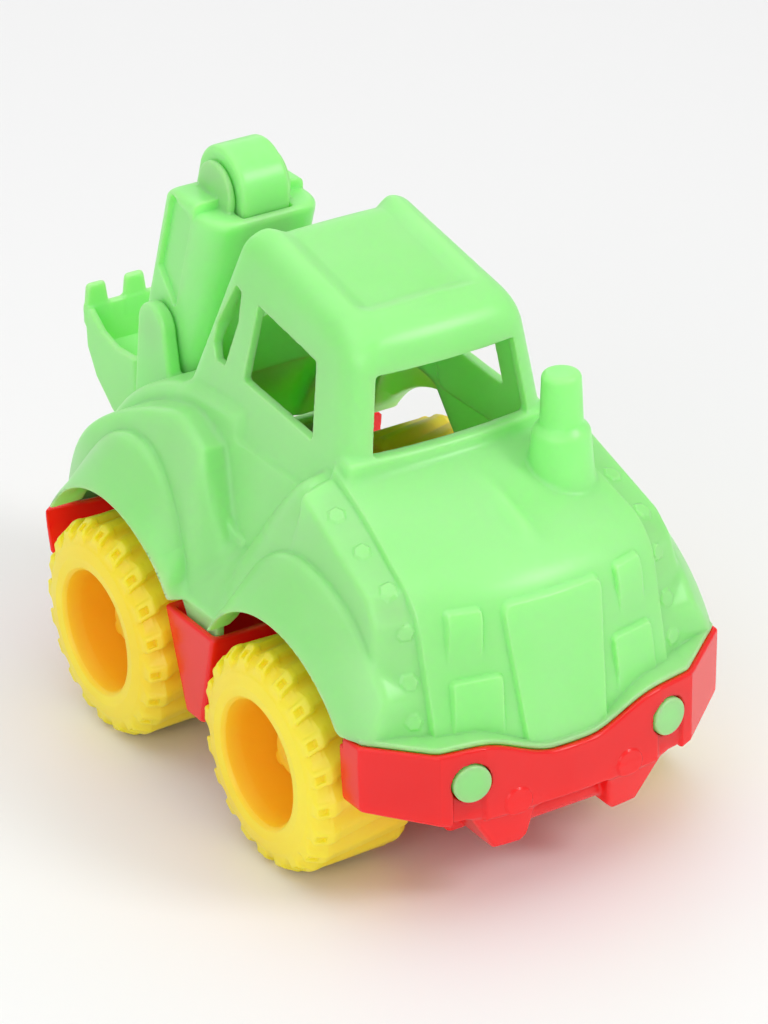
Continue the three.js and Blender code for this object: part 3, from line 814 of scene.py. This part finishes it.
def bucket(x, y, z):
    """The bucket: a hollow scoop with three teeth, two lugs and their pins."""
    ax = np.abs(x)
    outline = polygon(y, z, BUCKET_OUT)
    tub_form = soft_max(outline, ax - 14.5, 2.0)
    hollow = soft_max(outline + 2.0, ax - 12.6, 1.6)
    form = soft_max(tub_form, -hollow, 0.5)
    form = soft_max(form, -polygon(y, z, BUCKET_RIM), 0.8)
    half = 3.5 - 0.13 * np.maximum(z - 74.0, 0.0)
    for tooth_x in (-11.0, 0.0, 11.0):
        tooth = meet(1.2, np.abs(x - tooth_x) - half, z - 81.0, 70.0 - z, slab(y, 96.6, 98.6))
        form = soft_min(form, tooth, 0.8)
    stretch = np.hypot(np.minimum(y - BUCKET_HINGE[1], 0.0), z - BUCKET_HINGE[2])
    lugs = meet(0.9, stretch - 4.6, slab(ax, 6.9, 9.6), y - 73.4)
    form = soft_min(form, lugs, 1.0)
    pins = soft_max(around(y, z, BUCKET_HINGE) - BUCKET_PIN_R, slab(ax, 3.9, 8.0), 0.3)
    return soft_min(form, pins, 0.3)


# ---- materials --------------------------------------------------------------------------------


# Depth to which light spreads in the plastics, in metres, for a radius of 1 in the colour's channel.
SUBSURFACE_DEPTH = 0.008
# Distances from the axle, in metres, between which the painted shade in a wheel's dish, a deeper amber, gives
# way to the tyre's own tone.
DISH_SHADE_BAND = (0.0142, 0.0165)


def srgb(red, green, blue):
    """A display colour, 0 to 255, as linear light."""
    return [((c / 255.0 + 0.055) / 1.055) ** 2.4 for c in (red, green, blue)] + [1.0]


def new_look(name):
    """A new material, its node tree and its shader."""
    material = bpy.data.materials.new(name)
    material.use_nodes = True
    return material, material.node_tree, material.node_tree.nodes["Principled BSDF"]


def fill(tree, node, inputs):
    """Sockets of a node set to plain values, or linked where the value is another node's output."""
    for socket, value in inputs.items():
        if isinstance(value, bpy.types.NodeSocket):
            tree.links.new(value, node.inputs[socket])
        else:
            node.inputs[socket].default_value = value


def add_node(tree, kind, inputs):
    """A new node with its sockets filled."""
    node = tree.nodes.new(kind)
    fill(tree, node, inputs)
    return node


def color_mix(tree, a, b, factor):
    """Output of a node that mixes colour a with colour b."""
    node = tree.nodes.new("ShaderNodeMix")
    node.data_type = "RGBA"
    fill(tree, node, {"A": a, "B": b, "Factor": factor})
    return node.outputs["Result"]


def map_range(tree, value, inputs):
    """Output of a node that maps a value from one range to another, 0 to 1 where none is given."""
    return add_node(tree, "ShaderNodeMapRange", {"Value": value, **inputs}).outputs["Result"]


def vector_math(tree, operation, inputs):
    """A vector node with its sockets filled."""
    node = tree.nodes.new("ShaderNodeVectorMath")
    node.operation = operation
    fill(tree, node, inputs)
    return node


def paint_dish_shade(tree, place, tint, dish_shade_color, axle):
    """Painted shade: a deeper amber inside a wheel's dish, by distance from the axle."""
    centre = (0.0, axle[1] * MM, axle[2] * MM)
    shift = vector_math(tree, "SUBTRACT", {0: place.outputs["Object"], 1: centre})
    flat = vector_math(tree, "MULTIPLY", {0: shift.outputs["Vector"], 1: (0.0, 1.0, 1.0)})
    reach = vector_math(tree, "LENGTH", {0: flat.outputs["Vector"]})
    band = {"From Min": DISH_SHADE_BAND[0], "From Max": DISH_SHADE_BAND[1]}
    return color_mix(tree, dish_shade_color, tint, map_range(tree, reach.outputs["Value"], band))


def plastic(name, color, shade, roughness, glow, depth, dish_shade_color=None, axle=None):
    """Moulded plastic: light passes a little way in, flow marks vary its colour, its skin is uneven."""
    material, tree, shader = new_look(name)
    place = tree.nodes.new("ShaderNodeTexCoord")
    at = place.outputs["Object"]
    flow = add_node(tree, "ShaderNodeTexNoise", {"Vector": at, "Scale": 22.0, "Detail": 3.0}).outputs["Fac"]
    marks = map_range(tree, flow, {"From Min": 0.3, "From Max": 0.6})
    tint = color_mix(tree, shade, color, marks)
    # A wheel's dish is given painted shade: a deeper amber towards the axle.
    if dish_shade_color:
        tint = paint_dish_shade(tree, place, tint, dish_shade_color, axle)
    skin = add_node(tree, "ShaderNodeTexNoise", {"Vector": at, "Scale": 900.0, "Detail": 2.0}).outputs["Fac"]
    sheen = map_range(tree, flow, {"To Min": roughness - 0.05, "To Max": roughness + 0.07})
    bump = add_node(tree, "ShaderNodeBump", {"Height": skin, "Strength": 0.03, "Distance": 0.0006})
    fill(tree, shader, {"Base Color": tint, "Roughness": sheen, "Normal": bump.outputs["Normal"], "IOR": 1.49,
                        "Subsurface Weight": glow, "Subsurface Radius": depth,
                        "Subsurface Scale": SUBSURFACE_DEPTH})
    return material


def steel():
    """Drawn wire, streaked along X."""
    material, tree, shader = new_look("drawn_steel")
    place = tree.nodes.new("ShaderNodeTexCoord")
    stretch = add_node(tree, "ShaderNodeMapping", {"Vector": place.outputs["Object"],
                                                   "Scale": (15.0, 900.0, 900.0)})
    drawn = add_node(tree, "ShaderNodeTexNoise", {"Vector": stretch.outputs["Vector"], "Scale": 1.0})
    streak = drawn.outputs["Fac"]
    tone = color_mix(tree, (0.42, 0.43, 0.45, 1.0), (0.68, 0.69, 0.71, 1.0), streak)
    rough = map_range(tree, streak, {"To Min": 0.25, "To Max": 0.45})
    fill(tree, shader, {"Metallic": 1.0, "Base Color": tone, "Roughness": rough})
    return material


GREEN = plastic("green_plastic_look", srgb(157, 241, 143), srgb(146, 238, 130), 0.32, 0.9, (0.6, 1.0, 0.4))
RED = plastic("red_plastic_look", srgb(255, 26, 26), srgb(248, 18, 18), 0.2, 0.5, (1.0, 0.1, 0.1))
# The wheels' third colour, a deeper amber, is painted shade in their dishes.
YELLOWS = {end: plastic(f"yellow_plastic_{end}", srgb(255, 230, 60), srgb(255, 218, 40), 0.38, 0.8,
                        (1.0, 0.8, 0.2), srgb(255, 190, 30), axle)
           for end, axle in (("front", FRONT_AXLE), ("rear", REAR_AXLE))}
STEEL = steel()

# ---- pieces -----------------------------------------------------------------------------------


def place(piece, node, body, slot, material):
    """A piece given its look and its body, with the CAD node it replaces hidden; slot is not used."""
    piece.data.materials.append(material)
    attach(piece, body)
    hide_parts(node)


def node_box(node, margin):
    """A CAD node's box in millimetres, grown by margin."""
    low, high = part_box(node)
    return [c / MM - margin for c in low], [c / MM + margin for c in high]


def build(name, field, node, body, slot, material, step, margin=2.0, detail=()):
    """A moulding in place of one CAD node."""
    low, high = node_box(node, margin)
    piece = moulding(name, field, low, high, step, detail)
    place(piece, node, body, slot, material)
    return piece


build("shell_moulding", body_shell, "body_shell", "tractor", "green_plastic", GREEN, 0.85, 6.0,
      TOP_BOLTS + FRONT_BOLTS)
build("chassis_moulding", chassis, "chassis", "tractor", "red_plastic", RED, 0.8)
for word, side in (("left", 1), ("right", -1)):
    build(f"lamp_plug_{word}", lamp(side), f"headlamp_{word}", "tractor", "lamp_plastic", GREEN, 0.35, 1.0)
    for end, axle in (("front", FRONT_AXLE), ("rear", REAR_AXLE)):
        build(f"{end}_tyre_{word}", wheel(axle, side), f"{end}_wheel_{word}", f"{end}_wheelset",
              "yellow_plastic", YELLOWS[end], 0.6)
build("boom_moulding", boom, "boom", "boom_arm", "arm_plastic", GREEN, 0.6)
build("dipper_moulding", dipper, "dipper", "dipper_arm", "arm_plastic", GREEN, 0.6)
build("bucket_moulding", bucket, "bucket", "bucket_scoop", "arm_plastic", GREEN, 0.6)

for node in ("front_axle", "rear_axle"):
    rod = frame["nodes"][node]
    rod.data.materials.clear()
    rod.data.materials.append(STEEL)

# ---- floor, light, camera ---------------------------------------------------------------------

FLOOR_HALF = 6.0

floor_mesh = bpy.data.meshes.new("floor")
corners = [(-1, -1), (1, -1), (1, 1), (-1, 1)]
floor_mesh.from_pydata([(u * FLOOR_HALF, v * FLOOR_HALF, 0.0) for u, v in corners], [], [(0, 1, 2, 3)])
floor = bpy.data.objects.new("floor", floor_mesh)
bpy.context.scene.collection.objects.link(floor)
floor_look, floor_tree, floor_shader = new_look("floor_look")
fill(floor_tree, floor_shader, {"Base Color": srgb(238, 238, 238), "Roughness": 0.5})
floor_mesh.materials.append(floor_look)

world = bpy.data.worlds.new("studio")
world.use_nodes = True
fill(world.node_tree, world.node_tree.nodes["Background"], {"Color": (1.0, 1.0, 1.0, 1.0), "Strength": 0.53})
bpy.context.scene.world = world


def softbox(name, at, aim, size, power):
    """A rectangular lamp at a place, turned to a point, with its size in metres and its power in watts."""
    data = bpy.data.lights.new(name, "AREA")
    data.shape = "RECTANGLE"
    data.size, data.size_y = size
    data.energy = power
    lamp_object = bpy.data.objects.new(name, data)
    lamp_object.location = at
    lamp_object.rotation_euler = (Vector(aim) - Vector(at)).to_track_quat("-Z", "Y").to_euler()
    bpy.context.scene.collection.objects.link(lamp_object)


# A point inside the toy, in metres.
MIDDLE = (0.0, 0.0, 0.07)

softbox("overhead", (-0.2, 0.3, 1.7), (-0.2, 0.3, 0.0), (2.4, 2.4), 16.0)
softbox("glint", (0.7, -0.99, 1.05), MIDDLE, (0.45, 0.45), 7.0)
softbox("fill", (-1.3, -1.0, 0.8), MIDDLE, (1.4, 0.9), 8.0)
softbox("back", (0.5, 1.9, 0.75), MIDDLE, (2.0, 0.7), 3.0)

# The point the camera looks at, its angles from the nose, its roll and its distance in metres.
TARGET = Vector((0.0, -19.5, 62.5)) * MM
AZIMUTH, ELEVATION, ROLL = (math.radians(a) for a in (-31.87, 27.225, -1.204))
DISTANCE = 1.054

camera_data = bpy.data.cameras.new("camera")
camera_data.lens = 158.25
camera_data.sensor_width = 36.0
camera = bpy.data.objects.new("camera", camera_data)
direction = Vector((math.sin(AZIMUTH) * math.cos(ELEVATION), -math.cos(AZIMUTH) * math.cos(ELEVATION),
                    math.sin(ELEVATION)))
level_right = Vector((math.cos(AZIMUTH), math.sin(AZIMUTH), 0.0))
level_up = direction.cross(level_right)
right = level_right * math.cos(ROLL) + level_up * math.sin(ROLL)
up = level_up * math.cos(ROLL) - level_right * math.sin(ROLL)
basis = Matrix((right, up, direction)).transposed().to_4x4()
camera.matrix_world = Matrix.Translation(TARGET + direction * DISTANCE) @ basis
bpy.context.scene.collection.objects.link(camera)
bpy.context.scene.camera = camera
bpy.context.scene.view_settings.view_transform = "Standard"
